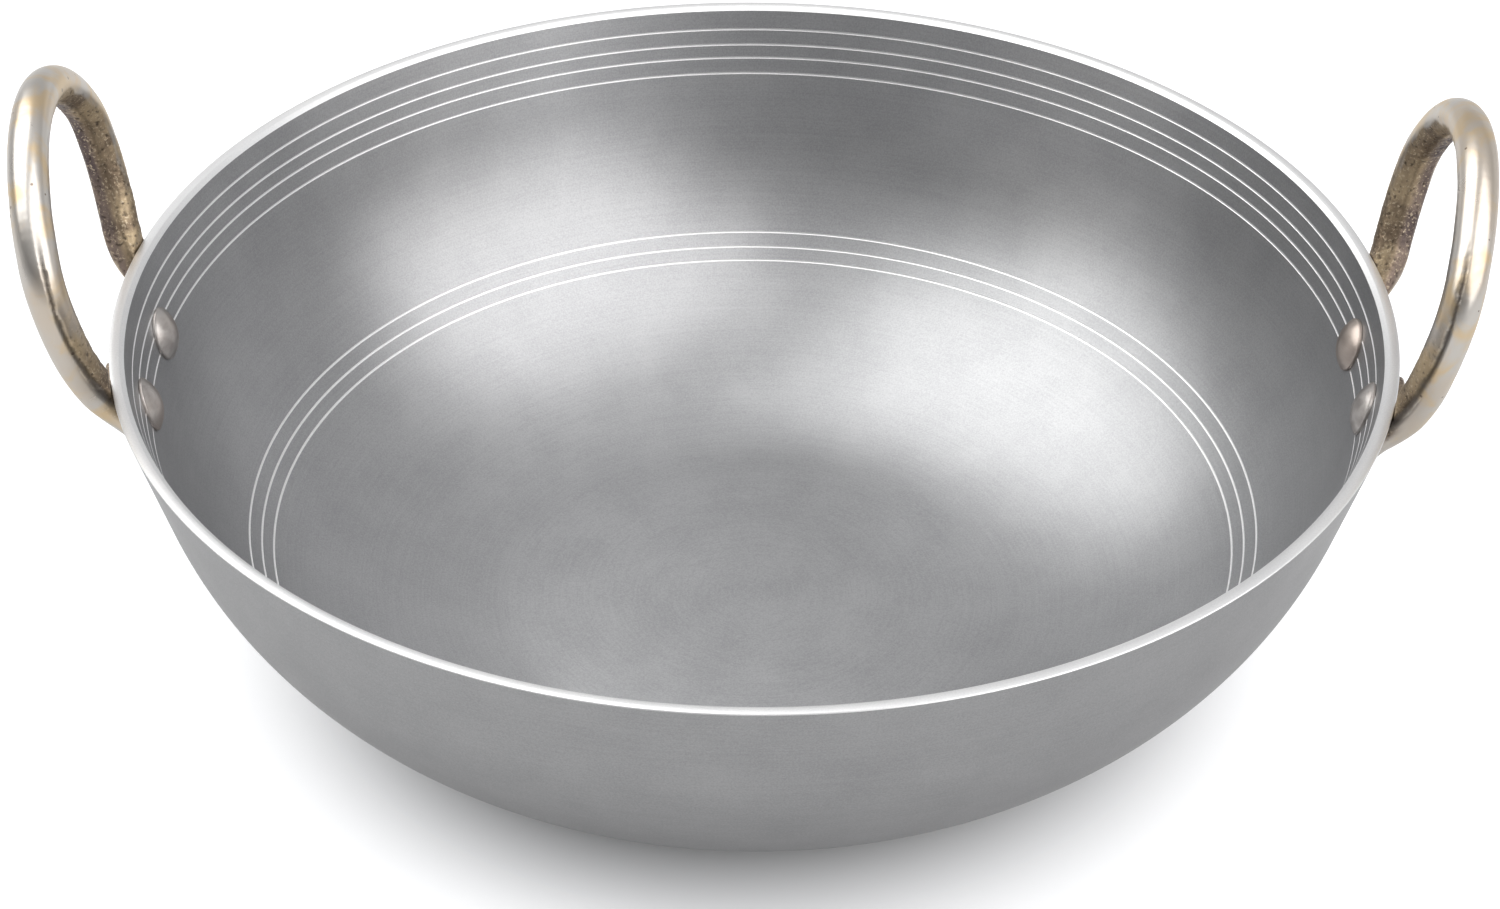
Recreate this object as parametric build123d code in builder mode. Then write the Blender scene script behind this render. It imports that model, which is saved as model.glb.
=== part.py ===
from build123d import *
import os
from math import asin, atan2, cos, degrees, radians, sin, sqrt, tan

# A kadai: a deep round-bottomed pan. One spun bowl, two cast loop handles on its outside
# and four rivets, two to a handle. Millimetres, +Z up. The origin is the middle of the
# flat underside, +X runs towards the right handle and -Y is the front.

# The bowl: a flat base, a round turn and a straight flared wall, all of one thickness.
rim_radius = 150.0
bowl_height = 90.0
wall = 3.1
flare_angle = 15.8  # of the straight wall, from the vertical
flare_height = 24.9  # of the straight wall, below the rim
rim_bevel = 0.85  # inside edge of the turned rim
rim_break = 0.25  # outside edge of the turned rim

# Fine lines turned into the inside wall: their depths below the rim are shares of the
# bowl's height.
groove_radius = 0.25
upper_groove_shares = (0.064, 0.109, 0.148, 0.194)
lower_groove_shares = (0.629, 0.663, 0.693)

# How each casting sits, fitted by hand: how far forward of the middle, how far its rivets
# are below the rim, how far the top of its loop is above the rim, and its tilt to the back.
left_forward_angle = 2.8
left_rivet_drop = 16.5
left_loop_rise = 54.5
left_tilt = 1.2
right_forward_angle = 4.2
right_rivet_drop = 13.7
right_loop_rise = 50.7
right_tilt = 5.0

# The rivets: a domed head inside the bowl, a shank, and a tail set down on the lug.
rivet_pitch = 31.5
shank_radius = 2.5
head_radius = 6.4
head_edge = 0.8
head_height = 3.2
tail_radius = 4.0
tail_edge = 0.6
tail_height = 1.7
rivet_clearance = 0.05
rivet_bed = 0.3  # how far a tail reaches down around the curve of the lug

# The lug: a plate that lies on the outside of the wall, with an ear at each end that backs
# a leg of the loop.
lug_thickness = 3.1
lug_width = 62.0
lug_height = 12.0
lug_corner = 5.0
lug_rounding = 0.5
lug_above_rivets = 4.6
ear_width = 22.5
ear_drop = 5.0  # of the top of an ear, below the rim
ear_fillet = 2.0

# The loop: a round bar bent to an arch, its plane leaning out. The sizes of the arch are
# those of the middle of the bar.
bar_radius = 4.55
loop_lean = 11.3
loop_half_width = 38.7
loop_crown = 29.0  # from its widest place up to its top
shoulder_radius = 18.0
leg_radius = 45.3
loop_stand = 0.8  # of the loop's plane outside the rim, at the rim's height
rim_gap = 0.2  # between the rim and the back of a leg, which is filed to clear it
bend_rise = 5.0  # above the rim, where a leg starts to turn in to the wall
foot_half_width = 29.0
foot_drop = 13.0  # below the rim, where the middle of the bar meets the wall
foot_depth = 1.0  # of that point behind the wall's outside

overrun = 2.0

flare = radians(flare_angle)
lean = radians(loop_lean)
corner_radius = (bowl_height - flare_height) / (1 - sin(flare))
base_radius = rim_radius - flare_height * tan(flare) - corner_radius * cos(flare)


def wall_at(height, out=0):
    """Radius and slope at a height, on the surface that lies `out` outside the bowl."""
    turn_radius = corner_radius + out
    if height >= corner_radius - turn_radius * sin(flare):
        return rim_radius + out / cos(flare) - (bowl_height - height) * tan(flare), flare
    slope = asin((corner_radius - height) / turn_radius)
    return base_radius + turn_radius * cos(slope), slope


def filled_bowl(out, top):
    """The bowl as if solid, with its surface moved out and its wall carried up to a height."""
    turn_radius = corner_radius + out
    bottom = corner_radius - turn_radius
    turn_end = (base_radius + turn_radius * cos(flare), corner_radius - turn_radius * sin(flare))
    top_radius = wall_at(top, out)[0]
    with BuildPart() as solid:
        with BuildSketch(Plane.XZ):
            with BuildLine():
                Line((0, top), (0, bottom))
                Line((0, bottom), (base_radius, bottom))
                turn = TangentArc((base_radius, bottom), turn_end, tangent=(1, 0))
                Line(turn @ 1, (top_radius, top))
                Line((top_radius, top), (0, top))
            make_face()
        revolve(axis=Axis.Z)
    return solid.part


def wall_plane(azimuth, drop):
    """Plane on the bowl's outside, with its Z axis pointing out of the wall."""
    height = bowl_height - drop
    radius, slope = wall_at(height)
    turn = radians(azimuth)
    return Plane(
        origin=(radius * cos(turn), radius * sin(turn), height),
        x_dir=(-sin(turn), cos(turn), 0),
        z_dir=(cos(slope) * cos(turn), cos(slope) * sin(turn), -sin(slope)),
    )


def tilted(plane, tilt):
    """The plane turned in itself, so that its upper side leans towards its X axis."""
    turned = plane.x_dir.rotate(Axis((0, 0, 0), plane.z_dir), -tilt)
    return Plane(origin=plane.origin, x_dir=turned, z_dir=plane.z_dir)


def rivet_places(azimuth, drop, tilt):
    """Azimuth and drop of the two rivets of a handle, the one at the higher azimuth first."""
    reach = rivet_pitch / 2 * cos(radians(tilt))
    fall = rivet_pitch / 2 * sin(radians(tilt))
    half_angle = degrees(asin(reach / wall_at(bowl_height - drop)[0]))
    return (azimuth + half_angle, drop + fall), (azimuth - half_angle, drop - fall)


def lug_plate(drop, tilt):
    """The plate of a handle at azimuth 0: its outline cut out of a thicker wall."""
    lug_bottom = lug_above_rivets - lug_height
    ear_top = drop - ear_drop
    place = tilted(wall_plane(0, drop), tilt)
    with BuildSketch() as outline:
        with Locations((0, lug_above_rivets - lug_height / 2)):
            RectangleRounded(lug_width, lug_height, lug_corner)
        for x in (ear_width - lug_width, lug_width - ear_width):
            with Locations((x / 2, (ear_top + lug_bottom) / 2)):
                RectangleRounded(ear_width, ear_top - lug_bottom, lug_corner)
        inner_corners = outline.vertices().filter_by_position(Axis.Y, lug_above_rivets, lug_above_rivets)
        fillet(inner_corners, radius=ear_fillet)
    with BuildPart() as lug:
        with BuildSketch(place):
            add(outline.sketch)
        extrude(amount=lug_thickness + overrun)
        with BuildSketch(place):
            add(outline.sketch)
        extrude(amount=-lug_width / 4)
        add(filled_bowl(lug_thickness, bowl_height), mode=Mode.INTERSECT)
        add(filled_bowl(0, bowl_height + overrun), mode=Mode.SUBTRACT)
        outside = lug.faces().sort_by(SortBy.AREA)[-2:].sort_by(Axis.X)[-1]
        fillet(outside.edges(), radius=lug_rounding)
    return lug.part


def loop_path(rise, tilt):
    """Middle line of the bar at azimuth 0: an arch in a leaning plane, with its feet turned in."""
    waist = rise / cos(lean) - loop_crown
    side = loop_half_width - shoulder_radius
    crown_radius = (side**2 + loop_crown**2 - shoulder_radius**2) / (2 * (loop_crown - shoulder_radius))
    joint = degrees(atan2(crown_radius - loop_crown, side))
    leg_turn = degrees(asin((waist - bend_rise) / leg_radius))
    loop_plane = Plane(
        origin=(rim_radius + loop_stand, 0, bowl_height),
        x_dir=(0, 1, 0),
        z_dir=(cos(lean), 0, -sin(lean)),
    )
    with BuildLine(tilted(loop_plane, tilt)) as arch:
        CenterArc((loop_half_width - leg_radius, waist), leg_radius, -leg_turn, leg_turn)
        CenterArc((side, waist), shoulder_radius, 0, joint)
        CenterArc((0, waist + loop_crown - crown_radius), crown_radius, joint, 180 - 2 * joint)
        CenterArc((-side, waist), shoulder_radius, 180 - joint, joint)
        CenterArc((leg_radius - loop_half_width, waist), leg_radius, 180, leg_turn)
    turn = radians(tilt)
    feet = []
    for across in (foot_half_width, -foot_half_width):
        foot_y = across * cos(turn) - foot_drop * sin(turn)
        foot_height = bowl_height - foot_drop * cos(turn) - across * sin(turn)
        foot_radius = wall_at(foot_height, -foot_depth)[0]
        feet.append((sqrt(foot_radius**2 - foot_y**2), foot_y, foot_height))
    bar = arch.wire()
    with BuildLine() as path:
        add(bar)
        TangentArc(bar @ 0, feet[0], tangent=(bar % 0) * -1)
        TangentArc(bar @ 1, feet[1], tangent=bar % 1)
    return path.wire()


def cast_handle(drop, rise, tilt):
    """One casting at azimuth 0, before it is drilled."""
    path = loop_path(rise, tilt)
    with BuildPart() as casting:
        with BuildSketch(Plane(origin=path @ 0, z_dir=path % 0)):
            Circle(bar_radius)
        sweep(path=path)
        add(filled_bowl(rim_gap, bowl_height), mode=Mode.SUBTRACT)
        with BuildSketch(Plane.XY.offset(bowl_height)):
            Circle(wall_at(bowl_height, rim_gap)[0])
        extrude(amount=2 * bar_radius, mode=Mode.SUBTRACT)
        add(lug_plate(drop, tilt))
    return casting.part


def dome_radius(reach, rise):
    """Radius of a dome from its half width and its rise."""
    return (reach**2 + rise**2) / (2 * rise)


def rivet(place, wall_solid, casting):
    """One rivet: head and tail follow the wall and the lug that they are drawn down on."""
    side_plane = Plane(origin=place.origin, x_dir=place.x_dir, z_dir=place.y_dir * -1)
    axis = Axis(place.origin, place.z_dir)
    inside = -wall
    with BuildPart() as solid:
        with BuildSketch(side_plane):
            with BuildLine():
                Line((0, inside - head_height), (0, inside))
                Line((0, inside), (head_radius, inside))
                Line((head_radius, inside), (head_radius, inside - head_edge))
                RadiusArc(
                    (head_radius, inside - head_edge),
                    (0, inside - head_height),
                    radius=dome_radius(head_radius, head_height - head_edge),
                )
            make_face()
        revolve(axis=axis)
        with BuildSketch(side_plane):
            with BuildLine():
                Line((0, lug_thickness + tail_height), (0, lug_thickness - rivet_bed))
                Line((0, lug_thickness - rivet_bed), (tail_radius, lug_thickness - rivet_bed))
                Line((tail_radius, lug_thickness - rivet_bed), (tail_radius, lug_thickness + tail_edge))
                RadiusArc(
                    (tail_radius, lug_thickness + tail_edge),
                    (0, lug_thickness + tail_height),
                    radius=-dome_radius(tail_radius, tail_height - tail_edge),
                )
            make_face()
        revolve(axis=axis)
        add(wall_solid, mode=Mode.SUBTRACT)
        add(casting, mode=Mode.SUBTRACT)
        with BuildSketch(place.offset(-wall - head_edge)):
            Circle(shank_radius)
        extrude(amount=head_edge + wall + lug_thickness + tail_edge)
    return solid.part


# Each handle's azimuth, drop, rise and tilt. Made at azimuth 0 a casting tilts towards +Y,
# which is the back on the right side and becomes the front on the left, so that sign turns.
handles = {
    "left": (180 + left_forward_angle, left_rivet_drop, left_loop_rise, -left_tilt),
    "right": (-right_forward_angle, right_rivet_drop, right_loop_rise, right_tilt),
}
ends = {"left": ("front", "back"), "right": ("back", "front")}

# The bowl before it is drilled: spun shell, turned rim, turned lines.
with BuildPart() as shell:
    add(filled_bowl(0, bowl_height))
    add(filled_bowl(-wall, bowl_height + overrun), mode=Mode.SUBTRACT)
    rim_edges = shell.edges().filter_by(GeomType.CIRCLE).group_by(Axis.Z)[-1].sort_by(SortBy.RADIUS)
    chamfer(rim_edges[0], length=rim_bevel)
    rim_edges = shell.edges().filter_by(GeomType.CIRCLE).group_by(Axis.Z)[-1].sort_by(SortBy.RADIUS)
    chamfer(rim_edges[-1], length=rim_break)
    plain_wall = shell.part
    for share in upper_groove_shares + lower_groove_shares:
        groove_height = bowl_height * (1 - share)
        with BuildSketch(Plane.XZ):
            with Locations((wall_at(groove_height, -wall)[0], groove_height)):
                Circle(groove_radius)
        revolve(axis=Axis.Z, mode=Mode.SUBTRACT)

hole_depth = lug_thickness + wall + 2 * overrun
pieces = {}
all_rivet_planes = []

for side, (azimuth, drop, rise, tilt) in handles.items():
    casting = cast_handle(drop, rise, tilt).rotate(Axis.Z, azimuth)
    planes = [wall_plane(*place) for place in rivet_places(azimuth, drop, tilt)]
    with BuildPart() as handle:
        add(casting)
        with Locations(*[place.offset(lug_thickness + overrun) for place in planes]):
            Hole(shank_radius + rivet_clearance, depth=hole_depth)
    pieces[side + "_handle"] = handle.part
    for end, place in zip(ends[side], planes):
        pieces[side + "_rivet_" + end] = rivet(place, plain_wall, casting)
    all_rivet_planes += planes

with BuildPart() as bowl:
    add(shell.part)
    with Locations(*[place.offset(lug_thickness + overrun) for place in all_rivet_planes]):
        Hole(shank_radius + rivet_clearance, depth=hole_depth)
pieces["bowl"] = bowl.part

os.makedirs("parts", exist_ok=True)
for name, solid in pieces.items():
    solid.label = name
    export_step(solid, "parts/" + name + ".step")

print("flat base radius %.1f, rim to floor inside %.1f" % (base_radius, bowl_height - wall))
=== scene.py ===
import math

import bpy
import numpy as np
from mathutils import Matrix, Vector, noise
from mathutils.kdtree import KDTree


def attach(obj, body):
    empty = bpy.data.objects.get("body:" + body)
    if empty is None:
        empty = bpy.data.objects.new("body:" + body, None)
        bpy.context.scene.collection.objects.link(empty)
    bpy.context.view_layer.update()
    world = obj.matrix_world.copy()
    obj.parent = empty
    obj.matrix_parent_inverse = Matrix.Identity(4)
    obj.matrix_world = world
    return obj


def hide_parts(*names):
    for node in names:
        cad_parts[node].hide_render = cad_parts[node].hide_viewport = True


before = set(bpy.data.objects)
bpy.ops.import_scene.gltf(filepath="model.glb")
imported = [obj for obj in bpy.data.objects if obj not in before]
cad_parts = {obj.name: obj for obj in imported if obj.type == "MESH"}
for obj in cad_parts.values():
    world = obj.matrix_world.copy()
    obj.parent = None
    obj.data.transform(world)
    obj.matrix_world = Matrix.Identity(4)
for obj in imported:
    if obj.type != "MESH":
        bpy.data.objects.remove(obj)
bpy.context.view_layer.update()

scene = bpy.context.scene

# The bowl: one disc of thick aluminium spun over a former, then hard-anodised a satin grey.
# Its rim is turned flat afterwards, and seven fine lines are turned through the grey skin
# of the inside, so rim and lines show the bare bright metal.

rim_radius = 0.150
bowl_height = 0.090
wall = 0.0031
flare = math.radians(15.8)
flare_height = 0.0249
rim_bevel = 0.00085
rim_break = 0.00025
line_half_width = 0.00032
line_depth = 0.00018
line_shares = (0.693, 0.663, 0.629, 0.194, 0.148, 0.109, 0.064)
turns_around = 384

turn_radius = (bowl_height - flare_height) / (1 - math.sin(flare))
base_radius = rim_radius - flare_height * math.tan(flare) - turn_radius * math.cos(flare)
turn_centre = turn_radius


def wall_point(height, out=0.0):
    """Radius and slope of the surface that lies `out` outside the bowl, at a height."""
    around = turn_radius + out
    if height >= turn_centre - around * math.sin(flare):
        radius = rim_radius + out / math.cos(flare) - (bowl_height - height) * math.tan(flare)
        return radius, flare
    slope = math.asin(min(1.0, (turn_centre - height) / around))
    return base_radius + around * math.cos(slope), slope


def wall_run(out, top, steps):
    """Points of that surface from its middle up to a height, as (radius, height)."""
    around = turn_radius + out
    floor = turn_centre - around
    run = [(base_radius * i / 8, floor) for i in range(8)]
    for i in range(steps):
        slope = math.pi / 2 + (flare - math.pi / 2) * i / steps
        run.append((base_radius + around * math.cos(slope), turn_centre - around * math.sin(slope)))
    low = turn_centre - around * math.sin(flare)
    heights = [low + (top - low) * i / 12 for i in range(13)]
    run += [(wall_point(height, out)[0], height) for height in heights]
    return run


def cut_lines(run):
    """The inside run with its turned lines cut in, and a flag on the points of each line."""
    marked = [(p, False) for p in run]
    for share in line_shares:
        height = bowl_height * (1 - share)
        radius, slope = wall_point(height, -wall)
        along = Vector((math.sin(slope), math.cos(slope)))
        into = Vector((math.cos(slope), -math.sin(slope)))
        middle = Vector((radius, height))
        marked = [m for m in marked if (Vector(m[0]) - middle).length > 2 * line_half_width]
        place = next(i for i, m in enumerate(marked) if m[0][1] > height)
        line = []
        for i in range(7):
            across = (i - 3) / 3
            depth = line_depth * math.sqrt(1 - across**2)
            line.append((tuple(middle + along * across * line_half_width + into * depth), i < 6))
        marked[place:place] = line
    return marked


def lathe(name, marked, around, materials):
    """A body turned about Z from (radius, height) points, each flag choosing a material."""
    angles = [2 * math.pi * i / around for i in range(around)]
    turn = [(math.cos(a), math.sin(a)) for a in angles]
    points, rings, faces, slots = [], [], [], []
    for (radius, height), flag in marked:
        if radius < 1e-6:
            rings.append([len(points)] * around)
            points.append((0, 0, height))
        else:
            rings.append(list(range(len(points), len(points) + around)))
            points += [(radius * c, radius * s, height) for c, s in turn]
    for k in range(len(rings) - 1):
        a, b = rings[k], rings[k + 1]
        for i in range(around):
            j = (i + 1) % around
            corners = [a[i], a[j], b[j], b[i]]
            corners = [c for n, c in enumerate(corners) if c not in corners[:n]]
            if len(corners) > 2:
                faces.append(corners)
                slots.append(int(marked[k][1]))
    mesh = bpy.data.meshes.new(name)
    mesh.from_pydata(points, [], faces)
    for material in materials:
        mesh.materials.append(material)
    mesh.polygons.foreach_set("material_index", slots)
    mesh.polygons.foreach_set("use_smooth", [True] * len(faces))
    mesh.set_sharp_from_angle(angle=math.radians(28))
    mesh.update()
    piece = bpy.data.objects.new(name, mesh)
    scene.collection.objects.link(piece)
    return piece


def add_node(tree, kind, **values):
    """A node with its inputs set by name, a spare underscore standing for a space."""
    node = tree.nodes.new("ShaderNode" + kind)
    for name, value in values.items():
        if hasattr(node, name):
            setattr(node, name, value)
        else:
            node.inputs[name.replace("_", " ")].default_value = value
    return node


def compute(tree, operation, first, second=None, third=None, clamp=False):
    """A maths node on sockets or plain numbers."""
    node = tree.nodes.new("ShaderNodeMath")
    node.operation = operation
    node.use_clamp = clamp
    for socket, value in zip(node.inputs, (first, second, third)):
        if hasattr(value, "node"):
            tree.links.new(value, socket)
        elif value is not None:
            socket.default_value = value
    return node.outputs[0]


def blend_colours(tree, share, first, second, way="MIX"):
    """A colour mix of sockets or plain colours."""
    node = tree.nodes.new("ShaderNodeMix")
    node.data_type = "RGBA"
    node.blend_type = way
    for socket, value in zip((node.inputs[0], node.inputs[6], node.inputs[7]), (share, first, second)):
        if hasattr(value, "node"):
            tree.links.new(value, socket)
        else:
            socket.default_value = value
    return node.outputs[2]


def ramp(tree, value, low, high):
    """A smooth step of a value from 0 at `low` to 1 at `high`."""
    node = tree.nodes.new("ShaderNodeMapRange")
    node.interpolation_type = "SMOOTHSTEP"
    tree.links.new(value, node.inputs["Value"])
    node.inputs["From Min"].default_value = low
    node.inputs["From Max"].default_value = high
    return node.outputs["Result"]


def effect_group(name, inputs, outputs):
    """An empty shader node group with plain number inputs and outputs."""
    group = bpy.data.node_groups.new(name, "ShaderNodeTree")
    for label, value in inputs:
        socket = group.interface.new_socket(label, in_out="INPUT", socket_type="NodeSocketFloat")
        socket.default_value = value
    for label in outputs:
        group.interface.new_socket(label, in_out="OUTPUT", socket_type="NodeSocketFloat")
    return group, group.nodes.new("NodeGroupInput").outputs, group.nodes.new("NodeGroupOutput").inputs


# What a turning tool leaves: fine rings around the axis, a soft mottle over them, and the
# fine grain of the grey skin.
ring_wobble = 2.5  # how far the ring pattern changes around the pan
skin_grain_scale = 2400.0

spun_marks, given, wanted = effect_group(
    "spun_marks", (("Ring Scale", 2600.0), ("Mottle Scale", 60.0)), ("Rings", "Mottle", "Grain")
)
place = add_node(spun_marks, "TexCoord").outputs["Object"]
axes = add_node(spun_marks, "SeparateXYZ")
spun_marks.links.new(place, axes.inputs[0])
x, y, z = axes.outputs
squares = [compute(spun_marks, "MULTIPLY", axis, axis) for axis in (x, y)]
radius = compute(spun_marks, "SQRT", compute(spun_marks, "ADD", *squares))
guarded = compute(spun_marks, "MAXIMUM", radius, 0.0001)
along_profile = compute(spun_marks, "MULTIPLY", compute(spun_marks, "ADD", radius, z), given["Ring Scale"])
ring_place = add_node(spun_marks, "CombineXYZ")
spun_marks.links.new(along_profile, ring_place.inputs[0])
for n, axis in ((1, x), (2, y)):
    heading = compute(spun_marks, "DIVIDE", axis, guarded)
    spun_marks.links.new(compute(spun_marks, "MULTIPLY", heading, ring_wobble), ring_place.inputs[n])
rings = add_node(spun_marks, "TexNoise", Scale=1.0, Detail=3.0, Roughness=0.6)
spun_marks.links.new(ring_place.outputs[0], rings.inputs["Vector"])
mottle = add_node(spun_marks, "TexNoise", Detail=4.0, Roughness=0.55)
spun_marks.links.new(place, mottle.inputs["Vector"])
spun_marks.links.new(given["Mottle Scale"], mottle.inputs["Scale"])
grain = add_node(spun_marks, "TexNoise", Scale=skin_grain_scale, Detail=2.0, Roughness=0.7)
spun_marks.links.new(place, grain.inputs["Vector"])
for label, source in (("Rings", rings), ("Mottle", mottle), ("Grain", grain)):
    spun_marks.links.new(source.outputs["Fac"], wanted[label])


ring_tone, mottle_tone, grain_tone = 0.2, 0.25, 0.55  # shares of each mark in the tone
streak_fade = (0.012, 0.075)  # from the axis, where turning stops stretching the highlights


def turned_metal(name, dark, light, roughness, spread, anisotropy, ring_scale, ring_height, grain_height):
    """A spun or turned metal whose tone, gloss and height follow its rings and mottle."""
    material = bpy.data.materials.new(name)
    material.use_nodes = True
    tree = material.node_tree
    shader = tree.nodes["Principled BSDF"]
    marks = tree.nodes.new("ShaderNodeGroup")
    marks.node_tree = spun_marks
    marks.inputs["Ring Scale"].default_value = ring_scale
    rings_out, mottle_out, grain_out = marks.outputs
    tone = compute(tree, "MULTIPLY", mottle_out, mottle_tone)
    tone = compute(tree, "MULTIPLY_ADD", rings_out, ring_tone, tone)
    tone = compute(tree, "MULTIPLY_ADD", grain_out, grain_tone, tone)
    tree.links.new(blend_colours(tree, ramp(tree, tone, 0.3, 0.7), dark, light), shader.inputs["Base Color"])
    gloss = compute(tree, "MULTIPLY_ADD", mottle_out, spread * 0.5, roughness - spread * 0.75)
    gloss = compute(tree, "MULTIPLY_ADD", rings_out, spread, gloss)
    tree.links.new(gloss, shader.inputs["Roughness"])
    shader.inputs["Metallic"].default_value = 1.0
    from_axis = add_node(tree, "VectorMath", operation="LENGTH")
    flatten = add_node(tree, "VectorMath", operation="MULTIPLY")
    flatten.inputs[1].default_value = (1, 1, 0)
    tree.links.new(add_node(tree, "TexCoord").outputs["Object"], flatten.inputs[0])
    tree.links.new(flatten.outputs[0], from_axis.inputs[0])
    off_axis = ramp(tree, from_axis.outputs["Value"], *streak_fade)
    stretch = compute(tree, "MULTIPLY", off_axis, anisotropy)
    tree.links.new(stretch, shader.inputs["Anisotropic"])
    shader.inputs["Anisotropic Rotation"].default_value = 0.25
    tangent = add_node(tree, "Tangent", direction_type="RADIAL", axis="Z")
    tree.links.new(tangent.outputs[0], shader.inputs["Tangent"])
    ring_part = compute(tree, "MULTIPLY", rings_out, ring_height)
    height = compute(tree, "ADD", ring_part, compute(tree, "MULTIPLY", grain_out, grain_height))
    bump = add_node(tree, "Bump", Strength=1.0, Distance=1.0)
    tree.links.new(height, bump.inputs["Height"])
    tree.links.new(bump.outputs[0], shader.inputs["Normal"])
    return material


anodised = turned_metal(
    "anodised_grey",
    dark=(0.325, 0.327, 0.335, 1),
    light=(0.445, 0.447, 0.453, 1),
    roughness=0.385,
    spread=0.04,
    anisotropy=0.50,
    ring_scale=2600.0,
    ring_height=0.0000016,
    grain_height=0.0000050,
)
bare_metal = turned_metal(
    "bare_turned_metal",
    dark=(0.78, 0.78, 0.785, 1),
    light=(0.88, 0.88, 0.875, 1),
    roughness=0.42,
    spread=0.06,
    anisotropy=0.3,
    ring_scale=5200.0,
    ring_height=0.000003,
    grain_height=0.000002,
)

inside = cut_lines(wall_run(-wall, bowl_height - rim_bevel * 1.05, 72))
inner_edge = wall_point(bowl_height, -wall)[0]
outer_edge = wall_point(bowl_height)[0]
rim = [
    ((wall_point(bowl_height - rim_bevel, -wall)[0], bowl_height - rim_bevel), True),
    ((inner_edge + rim_bevel - 0.00004, bowl_height - 0.00004), True),
    ((inner_edge + rim_bevel + 0.00005, bowl_height), True),
    ((outer_edge - rim_break - 0.00005, bowl_height), True),
    ((outer_edge - rim_break + 0.00004, bowl_height - 0.00003), True),
    ((wall_point(bowl_height - rim_break)[0], bowl_height - rim_break), False),
]
outside = [(p, False) for p in reversed(wall_run(0.0, bowl_height - 2 * rim_break, 72))]
bowl = lathe("spun_bowl", inside + rim + outside, turns_around, (anodised, bare_metal))
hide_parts("bowl")
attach(bowl, "root")

# The two handles: each one casting, a round-bar loop grown out of a lug plate that lies on
# the wall. Cast in brass, filed and plated silvery, and polished where the wheel reaches;
# the face towards the hole and the bowl stays rough, brown and pitted as cast.

bar_radius = 0.00455
loop_lean = math.radians(11.3)
loop_half_width = 0.0387
loop_crown = 0.029
shoulder_radius = 0.018
leg_radius = 0.0453
loop_stand = 0.0008
bend_rise = 0.005
foot_half_width = 0.029
foot_drop = 0.013
foot_depth = 0.001
lug_thickness = 0.0031
cast_voxel = 0.00042
flat_depth = 0.00045  # of the flat that the mould leaves towards the hole
swell_height = 0.00006
cast_height = 0.00012
pit_depth = 0.00018
seam_depth = 0.00034
seam_foot = 0.50  # where the seam starts around the bar, towards the bowl
seam_climb = 0.34  # how far around it wanders on its way up
seam_block = 0.0011  # height of its jagged steps
end_thinning = 0.6  # share of the thickness that the ends of a lug lose
wall_clearance = 0.00012
handle_places = {
    "left": {"azimuth": math.radians(182.8), "rise": 0.0545, "tilt": math.radians(-1.2), "seed": 3.0},
    "right": {"azimuth": math.radians(-4.2), "rise": 0.0507, "tilt": math.radians(5.0), "seed": 11.0},
}


def tangent_arc(start, along, end, steps):
    """Points of the arc that leaves `start` along a direction and reaches `end`."""
    chord = end - start
    side = (chord - along * chord.dot(along)).normalized()
    half = math.atan2(chord.dot(side), chord.dot(along))
    radius = chord.length / (2 * math.sin(half))
    angles = [2 * half * i / steps for i in range(1, steps + 1)]
    return [start + along * radius * math.sin(a) + side * radius * (1 - math.cos(a)) for a in angles]


def loop_line(azimuth, rise, tilt):
    """Middle line of the bar from foot to foot, with the direction towards the hole."""
    out = Vector((math.cos(loop_lean), 0, -math.sin(loop_lean)))
    up = Vector((math.sin(loop_lean), 0, math.cos(loop_lean)))
    across = Vector((0, 1, 0))
    turned = Matrix.Rotation(-tilt, 3, out)
    across, up = turned @ across, turned @ up
    origin = Vector((rim_radius + loop_stand, 0, bowl_height))
    waist = rise / math.cos(loop_lean) - loop_crown
    side = loop_half_width - shoulder_radius
    crown = (side**2 + loop_crown**2 - shoulder_radius**2) / (2 * (loop_crown - shoulder_radius))
    joint = math.atan2(crown - loop_crown, side)
    leg_turn = math.asin((waist - bend_rise) / leg_radius)
    arcs = (
        (loop_half_width - leg_radius, waist, leg_radius, np.linspace(-leg_turn, 0, 24)),
        (side, waist, shoulder_radius, np.linspace(0, joint, 14)[1:]),
        (0.0, waist + loop_crown - crown, crown, np.linspace(joint, math.pi / 2, 40)[1:]),
    )
    half = [(u + r * math.cos(a), v + r * math.sin(a)) for u, v, r, angles in arcs for a in angles]
    flat = half + [(-u, v) for u, v in reversed(half[:-1])]
    line = [origin + across * u + up * v for u, v in flat]
    ends = []
    for sign, near, next_point in ((1, line[0], line[1]), (-1, line[-1], line[-2])):
        foot_y = sign * foot_half_width * math.cos(tilt) - foot_drop * math.sin(tilt)
        height = bowl_height - foot_drop * math.cos(tilt) - sign * foot_half_width * math.sin(tilt)
        reach = wall_point(height, -foot_depth)[0]
        foot = Vector((math.sqrt(reach**2 - foot_y**2), foot_y, height))
        ends.append(tangent_arc(near, (near - next_point).normalized(), foot, 24))
    line = list(reversed(ends[0])) + line + ends[1]
    middle = origin + up * waist * 0.9
    spin = Matrix.Rotation(azimuth, 3, "Z")
    return [spin @ p for p in line], spin @ middle, spin @ out


def smooth_step(value, low, high):
    t = np.clip((value - low) / (high - low), 0.0, 1.0)
    return t * t * (3 - 2 * t)


def rough_noise(points, scale, seed, octaves=2):
    """Fractal noise between about -1 and 1 at each point."""
    offset = Vector((seed, seed * 0.37, -seed))
    return np.array([noise.fractal(Vector(p) * scale + offset, 0.9, 2.1, octaves) for p in points])


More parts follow.
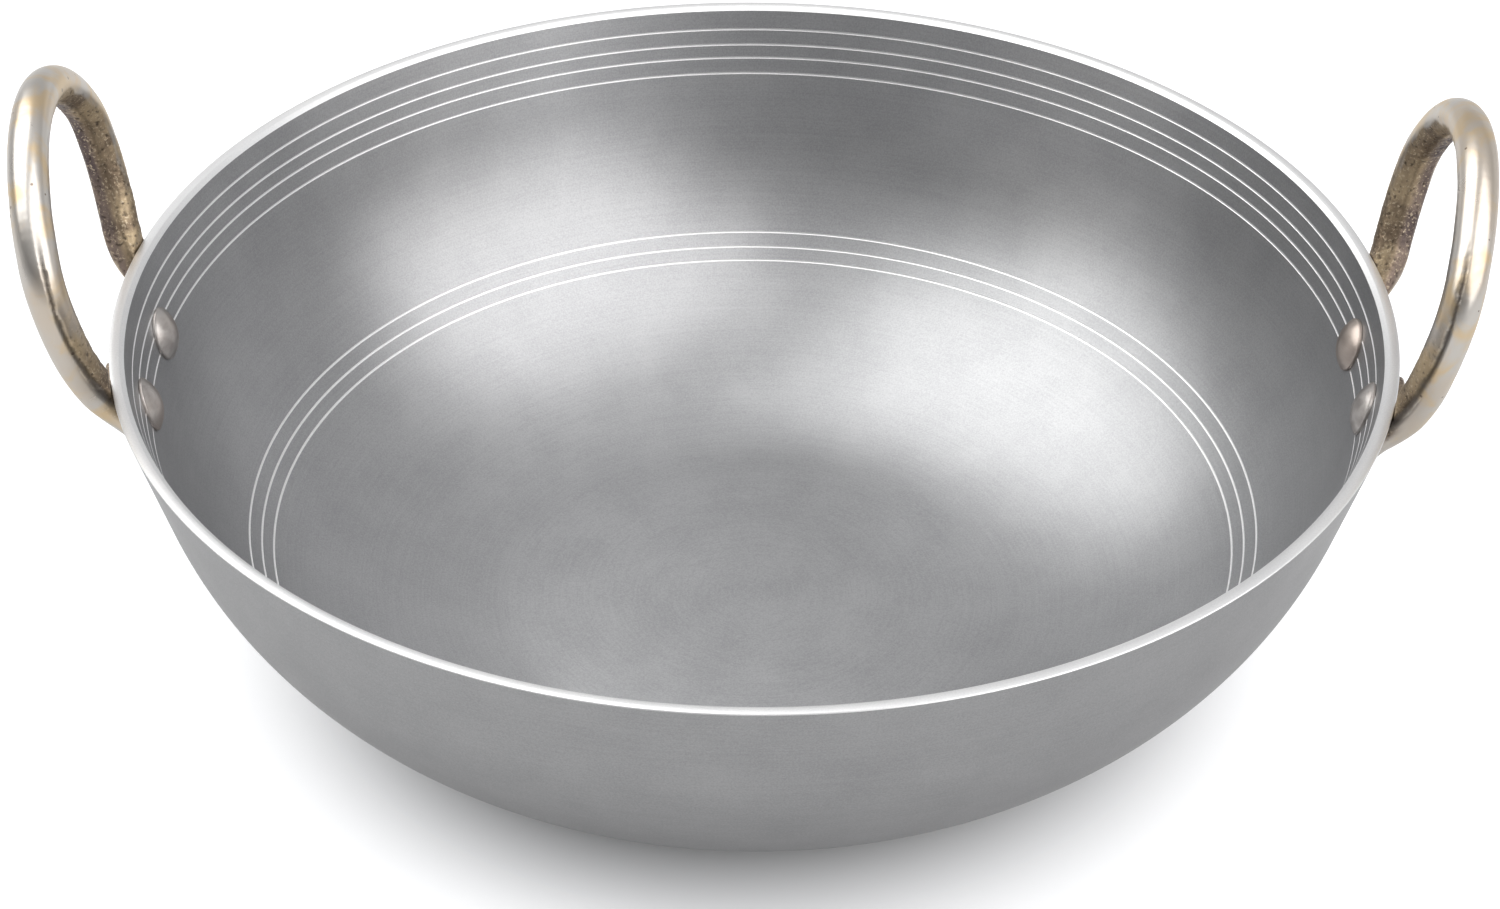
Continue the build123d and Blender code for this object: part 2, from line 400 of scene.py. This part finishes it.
def cast_handle(side, place):
    """The casting's mesh: softened as cast, rough inside, with a seam and thinned lug ends."""
    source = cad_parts[side + "_handle"].data.copy()
    piece = bpy.data.objects.new(side + "_cast_handle", source)
    scene.collection.objects.link(piece)
    remesh = piece.modifiers.new("melt", "REMESH")
    remesh.mode = "VOXEL"
    remesh.voxel_size = cast_voxel
    soften = piece.modifiers.new("soften", "SMOOTH")
    soften.factor = 0.5
    soften.iterations = 5
    graph = bpy.context.evaluated_depsgraph_get()
    mesh = bpy.data.meshes.new_from_object(piece.evaluated_get(graph))
    piece.modifiers.clear()
    piece.data = mesh
    bpy.data.meshes.remove(source)

    line, middle, out = loop_line(place["azimuth"], place["rise"], place["tilt"])
    tree = KDTree(len(line))
    for i, p in enumerate(line):
        tree.insert(p, i)
    tree.balance()
    count = len(mesh.vertices)
    points = np.empty(count * 3)
    mesh.vertices.foreach_get("co", points)
    points = points.reshape(-1, 3)
    normals = np.array([v.normal[:] for v in mesh.vertices])
    near = np.array([tree.find(p)[1] for p in points])
    line_points = np.array([p[:] for p in line])
    tangents = np.gradient(line_points, axis=0)
    tangents /= np.linalg.norm(tangents, axis=1)[:, None]
    centre, along = line_points[near], tangents[near]
    away = points - centre
    away -= along * (away * along).sum(1)[:, None]
    reach = np.linalg.norm(away, axis=1)
    facing = away / np.maximum(reach, 1e-6)[:, None]
    to_hole = np.array(middle[:]) - centre
    to_hole -= along * (to_hole * along).sum(1)[:, None]
    to_hole /= np.linalg.norm(to_hole, axis=1)[:, None]
    to_bowl = np.stack([-centre[:, 0], -centre[:, 1], centre[:, 2] * 0], 1)
    to_bowl -= along * (to_bowl * along).sum(1)[:, None]
    to_bowl /= np.linalg.norm(to_bowl, axis=1)[:, None]
    hole_share = (facing * to_hole).sum(1)
    bowl_share = (facing * to_bowl).sum(1)
    height = points[:, 2]
    on_bar = smooth_step(-np.abs(reach - bar_radius), -0.0016, -0.0008)
    on_bar *= smooth_step(height, bowl_height - 0.006, bowl_height - 0.001)

    # The rough face: towards the hole, past the seam low on the legs, and behind the lug.
    wander = rough_noise(points, 160, place["seed"])
    low = 1 - smooth_step(height, bowl_height + 0.008, bowl_height + 0.034)
    cast_face = smooth_step(hole_share + 0.22 * wander, 0.34, 0.52)
    blocks = np.round(height / seam_block) * seam_block
    jag = rough_noise(np.stack([blocks, blocks * 0, blocks * 0], 1), 300, place["seed"] + 21)
    lift_share = smooth_step(height, bowl_height + 0.001, bowl_height + 0.026)
    seam_at = seam_foot - seam_climb * lift_share + 0.05 * jag
    past_seam = smooth_step(bowl_share - seam_at + 0.06 * wander, 0.02, 0.14)
    cast_face = np.maximum(cast_face, low * past_seam)
    below_rim = 1 - smooth_step(height, bowl_height - 0.005, bowl_height - 0.001)
    cast_face = np.maximum(cast_face, below_rim * smooth_step(bowl_share, -0.2, 0.3))
    outward = (normals[:, :2] * points[:, :2]).sum(1) / np.hypot(points[:, 0], points[:, 1])
    cast_face *= 1 - 0.85 * below_rim * smooth_step(outward + 0.15 * wander, 0.35, 0.75)

    # The seam: a faint crease inside the loop, and a dark jagged edge up the near leg.
    sideways = (facing * np.array(out[:])).sum(1)
    seam_shift = 0.10 * wander + 0.18
    seam = np.exp(-(((sideways + seam_shift) / 0.13) ** 2)) * smooth_step(hole_share, 0.5, 0.8)
    seam_width = 0.12 + 0.09 * (1 - lift_share) + 0.07 * jag
    edge_seam = np.exp(-(np.abs((bowl_share - seam_at) / seam_width) ** 3))
    edge_seam *= smooth_step(-hole_share, -0.1, 0.25)
    edge_seam *= smooth_step(-height, -bowl_height - 0.046, -bowl_height - 0.037)
    edge_seam *= smooth_step(-points[:, 1], -0.002, 0.004)
    seam = np.maximum(seam * 0.45, edge_seam) * on_bar
    flattened = smooth_step(hole_share, 0.55, 0.97) * on_bar

    fine = rough_noise(points, 900, place["seed"] + 5, 3)
    broad = rough_noise(points, 110, place["seed"] + 9)
    pits = smooth_step(rough_noise(points, 1300, place["seed"] + 2, 1), 0.28, 0.6)
    lift = swell_height * broad
    lift += cast_face * (cast_height * fine - pit_depth * pits)
    lift -= flat_depth * flattened
    lift -= seam_depth * seam * (0.7 + 0.5 * fine)
    points = points + normals * lift[:, None]

    # The ends of the lug are filed thinner, and nothing stands in the wall behind it.
    radial = np.hypot(points[:, 0], points[:, 1])
    turned = np.arctan2(points[:, 1], points[:, 0]) - place["azimuth"]
    aside = radial * np.abs(np.angle(np.exp(1j * turned)))
    heights = [min(max(h, 0.05), bowl_height) for h in points[:, 2]]
    on_wall = np.array([wall_point(h)[0] for h in heights])
    thinned = end_thinning * smooth_step(aside, 0.018, 0.032)
    thinned *= smooth_step(-points[:, 2], -bowl_height + 0.003, -bowl_height + 0.016)
    off_wall = np.clip(radial - on_wall, 0, 0.004)
    inset = (radial - off_wall * thinned) / radial
    points[:, 0] *= inset
    points[:, 1] *= inset
    radial = np.hypot(points[:, 0], points[:, 1])
    least = np.array([wall_point(h, wall_clearance)[0] for h in heights])
    push = np.where(radial < least, least / radial, 1.0)
    push[points[:, 2] > bowl_height + 0.012] = 1.0
    points[:, 0] *= push
    points[:, 1] *= push
    mesh.vertices.foreach_set("co", points.ravel())
    # How far each point faces the bowl; this picks the painted lit and shaded tones of the cast face.
    inward = smooth_step(bowl_share, -0.25, 0.35)
    for label, values in (("cast_face", cast_face), ("seam", seam), ("pits", pits * cast_face), ("inward", inward)):
        layer = mesh.attributes.new(label, "FLOAT", "POINT")
        layer.data.foreach_set("value", np.clip(values, 0, 1).astype(np.float32))
    mesh.polygons.foreach_set("use_smooth", [True] * len(mesh.polygons))
    mesh.update()
    return piece


# What handling and age leave on plated metal: tinted patches, dark specks and a fine grain.
rare_from = 0.84  # of the cells of the speck pattern, those above this hold a speck
speck_reach = 0.30

plate_wear, given, wanted = effect_group(
    "plate_wear", (("Patch Scale", 90.0), ("Speck Scale", 420.0)), ("Patches", "Tint", "Specks", "Grain")
)
place = add_node(plate_wear, "TexCoord").outputs["Object"]
patches = add_node(plate_wear, "TexNoise", Detail=3.0, Roughness=0.55, Distortion=0.6)
tint = add_node(plate_wear, "TexNoise", Scale=46.0, Detail=2.0, Roughness=0.5)
specks = add_node(plate_wear, "TexVoronoi", feature="F1", Randomness=1.0)
rare = add_node(plate_wear, "SeparateColor")
worn_grain = add_node(plate_wear, "TexNoise", Scale=1500.0, Detail=3.0, Roughness=0.65)
for texture in (patches, tint, specks, worn_grain):
    plate_wear.links.new(place, texture.inputs["Vector"])
plate_wear.links.new(given["Patch Scale"], patches.inputs["Scale"])
plate_wear.links.new(given["Speck Scale"], specks.inputs["Scale"])
plate_wear.links.new(specks.outputs["Color"], rare.inputs[0])
rare_share = compute(plate_wear, "GREATER_THAN", rare.outputs[0], rare_from)
speck_size = compute(plate_wear, "MULTIPLY", rare_share, patches.outputs["Fac"])
speck_size = compute(plate_wear, "MULTIPLY", speck_size, speck_reach)
speckled = compute(plate_wear, "LESS_THAN", specks.outputs["Distance"], speck_size)
plate_wear.links.new(patches.outputs["Fac"], wanted["Patches"])
plate_wear.links.new(tint.outputs["Fac"], wanted["Tint"])
plate_wear.links.new(speckled, wanted["Specks"])
plate_wear.links.new(worn_grain.outputs["Fac"], wanted["Grain"])

silvery = bpy.data.materials.new("silvery_plate")
silvery.use_nodes = True
tree = silvery.node_tree
shader = tree.nodes["Principled BSDF"]
wear = tree.nodes.new("ShaderNodeGroup")
wear.node_tree = plate_wear
patch_out, tint_out, speck_out, grain_out = wear.outputs
mask = {
    label: add_node(tree, "Attribute", attribute_name=label).outputs["Fac"]
    for label in ("cast_face", "seam", "pits", "inward")
}
tinted = ramp(tree, tint_out, 0.42, 0.62)
polished = blend_colours(tree, tinted, (0.60, 0.57, 0.53, 1), (0.61, 0.54, 0.46, 1))
polished = blend_colours(tree, ramp(tree, patch_out, 0.46, 0.66), polished, (0.66, 0.52, 0.34, 1))
polished = blend_colours(tree, compute(tree, "MULTIPLY", speck_out, 0.75), polished, (0.16, 0.11, 0.085, 1))
mottled = ramp(tree, patch_out, 0.36, 0.66)
# Painted shade and light: the rough cast face gets a darker, painted-shade copy of its brown on the side away from
# the bowl, and a lighter, painted-light copy on the side towards it.
shaded_cast = blend_colours(tree, mottled, (0.115, 0.088, 0.085, 1), (0.26, 0.20, 0.165, 1))
lit_cast = blend_colours(tree, mottled, (0.22, 0.165, 0.115, 1), (0.46, 0.36, 0.235, 1))
as_cast = blend_colours(tree, mask["inward"], shaded_cast, lit_cast)
# The rough face is flecked with pale gold where the fine grain runs high.
gold_flecks = compute(tree, "MULTIPLY", ramp(tree, grain_out, 0.54, 0.68), 0.8)
as_cast = blend_colours(tree, gold_flecks, as_cast, (0.66, 0.55, 0.40, 1))
colour = blend_colours(tree, mask["cast_face"], polished, as_cast)
# The pits of the rough face are darkened nearly to black.
pit_darkening = compute(tree, "MULTIPLY", mask["pits"], 0.8)
colour = blend_colours(tree, pit_darkening, colour, (0.055, 0.042, 0.035, 1))
# The seam is darkened nearly to black.
seam_darkening = compute(tree, "MULTIPLY", mask["seam"], 0.85, clamp=True)
colour = blend_colours(tree, seam_darkening, colour, (0.05, 0.038, 0.03, 1))
tree.links.new(colour, shader.inputs["Base Color"])
rough_share = compute(tree, "MULTIPLY_ADD", patch_out, 0.16, 0.22)
rough_share = compute(tree, "MULTIPLY_ADD", mask["cast_face"], 0.18, rough_share)
rough_share = compute(tree, "MULTIPLY_ADD", mask["seam"], 0.2, rough_share)
tree.links.new(rough_share, shader.inputs["Roughness"])
shader.inputs["Metallic"].default_value = 1.0
grain_height = compute(tree, "MULTIPLY_ADD", mask["cast_face"], 0.00010, 0.000004)
cast_grain = compute(tree, "MULTIPLY", grain_out, grain_height)
bump = add_node(tree, "Bump", Strength=1.0, Distance=1.0)
tree.links.new(compute(tree, "MULTIPLY_ADD", patch_out, 0.00003, cast_grain), bump.inputs["Height"])
tree.links.new(bump.outputs[0], shader.inputs["Normal"])

for side, place in handle_places.items():
    handle = cast_handle(side, place)
    handle.data.materials.clear()
    handle.data.materials.append(silvery)
    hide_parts(side + "_handle")
    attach(handle, "root")

# The four rivets: soft steel, two to a handle. Each has a large low dome inside the bowl
# and is set down over the lug outside. The domes are brushed by hand, in any direction.

rivet_pitch = 0.0315
rivet_drops = {"left": 0.0165, "right": 0.0137}
shank_radius = 0.0025
head_radius = 0.0064
head_edge = 0.0008
head_height = 0.0032
tail_radius = 0.004
tail_edge = 0.0006
tail_height = 0.0017

rivet_steel = bpy.data.materials.new("brushed_rivet_steel")
rivet_steel.use_nodes = True
tree = rivet_steel.node_tree
shader = tree.nodes["Principled BSDF"]
wear = tree.nodes.new("ShaderNodeGroup")
wear.node_tree = plate_wear
wear.inputs["Patch Scale"].default_value = 260.0
patch_out, tint_out = wear.outputs["Patches"], wear.outputs["Tint"]
brushing = add_node(tree, "TexNoise", Scale=1.0, Detail=3.0, Roughness=0.6)
stretch = add_node(tree, "Mapping", Scale=(500.0, 700.0, 4200.0))
tree.links.new(add_node(tree, "TexCoord").outputs["Object"], stretch.inputs["Vector"])
tree.links.new(stretch.outputs[0], brushing.inputs["Vector"])
steel = blend_colours(tree, ramp(tree, patch_out, 0.35, 0.65), (0.36, 0.325, 0.305, 1), (0.50, 0.47, 0.445, 1))
steel = blend_colours(tree, ramp(tree, tint_out, 0.5, 0.62), steel, (0.44, 0.365, 0.315, 1))
steel = blend_colours(tree, compute(tree, "MULTIPLY", brushing.outputs["Fac"], 0.3), steel, (0.72, 0.70, 0.68, 1))
tree.links.new(steel, shader.inputs["Base Color"])
tree.links.new(compute(tree, "MULTIPLY_ADD", brushing.outputs["Fac"], 0.2, 0.24), shader.inputs["Roughness"])
shader.inputs["Metallic"].default_value = 1.0
bump = add_node(tree, "Bump", Strength=1.0, Distance=1.0)
tree.links.new(compute(tree, "MULTIPLY", brushing.outputs["Fac"], 0.000012), bump.inputs["Height"])
tree.links.new(bump.outputs[0], shader.inputs["Normal"])


def dome(reach, rise, start, sign, steps):
    """Points of a low dome from its edge to its top, as (radius, height)."""
    radius = (reach**2 + rise**2) / (2 * rise)
    angles = [math.asin(reach / radius) * (1 - i / steps) for i in range(steps + 1)]
    return [(radius * math.sin(a), start + sign * (radius * math.cos(a) - radius + rise)) for a in angles]


def set_rivet(name, azimuth, drop):
    """A rivet turned about its own axis, then stood in the wall."""
    head, tail = -wall, lug_thickness
    tail_dome = dome(tail_radius - 0.0002, tail_height - tail_edge, tail + tail_edge, 1, 10)
    run = [(0.0, tail + tail_height)] + tail_dome[::-1][1:]
    run += [(tail_radius, tail + tail_edge - 0.0002), (tail_radius, tail), (shank_radius, tail)]
    run += [(shank_radius, head), (head_radius - 0.00015, head), (head_radius, head - 0.00015)]
    run += [(head_radius, head - head_edge + 0.00025), (head_radius - 0.00008, head - head_edge + 0.00008)]
    run += dome(head_radius - 0.00025, head_height - head_edge, head - head_edge, -1, 16)
    run[-1] = (0.0, run[-1][1])
    piece = lathe(name, [(p, False) for p in run], 72, (rivet_steel,))
    piece.data.flip_normals()
    height = bowl_height - drop
    radius, slope = wall_point(height)
    turn = Matrix.Rotation(azimuth, 4, "Z")
    lay = Matrix.Rotation(math.pi / 2 + slope, 4, "Y")
    spot = Vector((radius * math.cos(azimuth), radius * math.sin(azimuth), height))
    piece.data.transform(Matrix.Translation(spot) @ turn @ lay)

    # The back of the head follows the curve of the wall, and stays inside it.
    outward = Vector((math.cos(azimuth), math.sin(azimuth), 0))
    for v in piece.data.vertices:
        reach = math.hypot(v.co.x, v.co.y)
        limit = wall_point(min(v.co.z, bowl_height), -wall - 0.00002)[0]
        in_head = (v.co - spot).length < 0.012 and (v.co - spot).dot(outward) < -wall * 0.9
        if in_head and reach > limit:
            v.co.x *= limit / reach
            v.co.y *= limit / reach
    piece.data.update()
    return piece


for side, place in handle_places.items():
    tilt = place["tilt"]
    half_angle = math.asin(rivet_pitch / 2 * math.cos(tilt) / wall_point(bowl_height - rivet_drops[side])[0])
    fall = rivet_pitch / 2 * math.sin(tilt)
    ends = ("front", "back") if side == "left" else ("back", "front")
    for end, sign in zip(ends, (1, -1)):
        name = side + "_rivet_" + end
        azimuth = place["azimuth"] + sign * half_angle
        rivet = set_rivet(name + "_domed", azimuth, rivet_drops[side] + sign * fall)
        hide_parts(name)
        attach(rivet, "root")

# The setting: a plain white floor, two large soft boxes and a pale room. The floor carries
# the pan's shadow, and glows white for the camera away from it, as a cleaned background.

floor_radius = 8.0
floor_sides = 96
floor_glow = 0.62
glow_in_metal = 0.12  # the share of it that the pan mirrors
shadow_edge = (0.078, 0.135)  # from the middle of the pan, where the glow comes in

floor_mesh = bpy.data.meshes.new("floor")
floor_angles = np.linspace(0, 2 * math.pi, floor_sides + 1)[:-1]
floor_edge = [(floor_radius * math.cos(a), floor_radius * math.sin(a), 0) for a in floor_angles]
floor_mesh.from_pydata(floor_edge, [], [list(range(floor_sides))])
floor = bpy.data.objects.new("floor", floor_mesh)
scene.collection.objects.link(floor)
paper = bpy.data.materials.new("white_paper")
paper.use_nodes = True
tree = paper.node_tree
shader = tree.nodes["Principled BSDF"]
shader.inputs["Base Color"].default_value = (0.58, 0.58, 0.58, 1)
shader.inputs["Roughness"].default_value = 0.9
shader.inputs["Specular IOR Level"].default_value = 0.2
shader.inputs["Emission Color"].default_value = (0.97, 0.98, 1.0, 1)
seen = add_node(tree, "LightPath")
mirrored, direct = seen.outputs["Is Glossy Ray"], seen.outputs["Is Camera Ray"]
shown = compute(tree, "MULTIPLY_ADD", mirrored, glow_in_metal, direct)
spot = add_node(tree, "VectorMath", operation="LENGTH")
tree.links.new(add_node(tree, "TexCoord").outputs["Object"], spot.inputs[0])
away = ramp(tree, spot.outputs["Value"], *shadow_edge)
glow = compute(tree, "MULTIPLY", compute(tree, "MULTIPLY", away, shown), floor_glow)
tree.links.new(glow, shader.inputs["Emission Strength"])
floor_mesh.materials.append(paper)

room_level = 0.22
ceiling_rise = 0.48
horizon_rise = 0.50
horizon_fade = (0.34, 0.04)  # share of straight up, from no rise to all of it
right_rise, back_rise = 0.11, 0.13
backdrop_level = 1.1

world = bpy.data.worlds.new("pale_room")
scene.world = world
world.use_nodes = True
tree = world.node_tree
background = tree.nodes["Background"]
direction = add_node(tree, "TexCoord").outputs["Generated"]
parts = add_node(tree, "SeparateXYZ")
tree.links.new(direction, parts.inputs[0])
upward = ramp(tree, parts.outputs[2], 0.0, 1.0)
near_horizon = ramp(tree, parts.outputs[2], *horizon_fade)
brightness = compute(tree, "MULTIPLY_ADD", upward, ceiling_rise, room_level)
brightness = compute(tree, "MULTIPLY_ADD", near_horizon, horizon_rise, brightness)
brightness = compute(tree, "MULTIPLY_ADD", parts.outputs[0], right_rise, brightness)
brightness = compute(tree, "MULTIPLY_ADD", parts.outputs[1], back_rise, brightness)
to_camera = add_node(tree, "LightPath").outputs["Is Camera Ray"]
backdrop = compute(tree, "MULTIPLY", to_camera, backdrop_level)
brightness = compute(tree, "MAXIMUM", brightness, backdrop)
tree.links.new(brightness, background.inputs["Strength"])
background.inputs["Color"].default_value = (0.99, 0.99, 1.0, 1)


def soft_box(name, toward, distance, width, height, radiance, colour):
    """A rectangular lamp at a distance in a direction, aimed at the pan."""
    data = bpy.data.lights.new(name, "AREA")
    data.shape = "RECTANGLE"
    data.size, data.size_y = width, height
    data.energy = radiance * width * height * math.pi
    data.color = colour
    lamp = bpy.data.objects.new(name, data)
    toward = Vector(toward).normalized()
    lamp.location = toward * distance + Vector((0, 0, 0.05))
    lamp.rotation_euler = (-toward).to_track_quat("-Z", "Y").to_euler()
    lamp.visible_camera = False
    scene.collection.objects.link(lamp)


soft_box(
    "right_front_box",
    toward=(0.590, -0.368, 0.718),
    distance=1.6,
    width=1.91,
    height=2.25,
    radiance=1.84,
    colour=(1.0, 0.99, 0.985),
)
soft_box(
    "left_back_box",
    toward=(-0.570, 0.204, 0.796),
    distance=1.6,
    width=2.10,
    height=1.66,
    radiance=2.15,
    colour=(1.0, 1.0, 0.99),
)

# The camera stands in front and above, as the photographer's did.

camera_data = bpy.data.cameras.new("camera")
camera_data.sensor_fit = "HORIZONTAL"
camera_data.sensor_width = 36.0
camera_data.lens = 77.59
camera = bpy.data.objects.new("camera", camera_data)
scene.collection.objects.link(camera)
pitch, yaw, roll = math.radians(35.68), math.radians(-0.076), math.radians(0.40)
ahead = Vector((math.sin(yaw) * math.cos(pitch), math.cos(yaw) * math.cos(pitch), -math.sin(pitch)))
level = Vector((math.cos(yaw), -math.sin(yaw), 0))
above = level.cross(ahead)
right = level * math.cos(roll) + above * math.sin(roll)
upright = above * math.cos(roll) - level * math.sin(roll)
stand = Matrix.Translation((0, -0.6386, 0.5042))
camera.matrix_world = stand @ Matrix((right, upright, -ahead)).transposed().to_4x4()
scene.camera = camera
scene.view_settings.view_transform = "Standard"
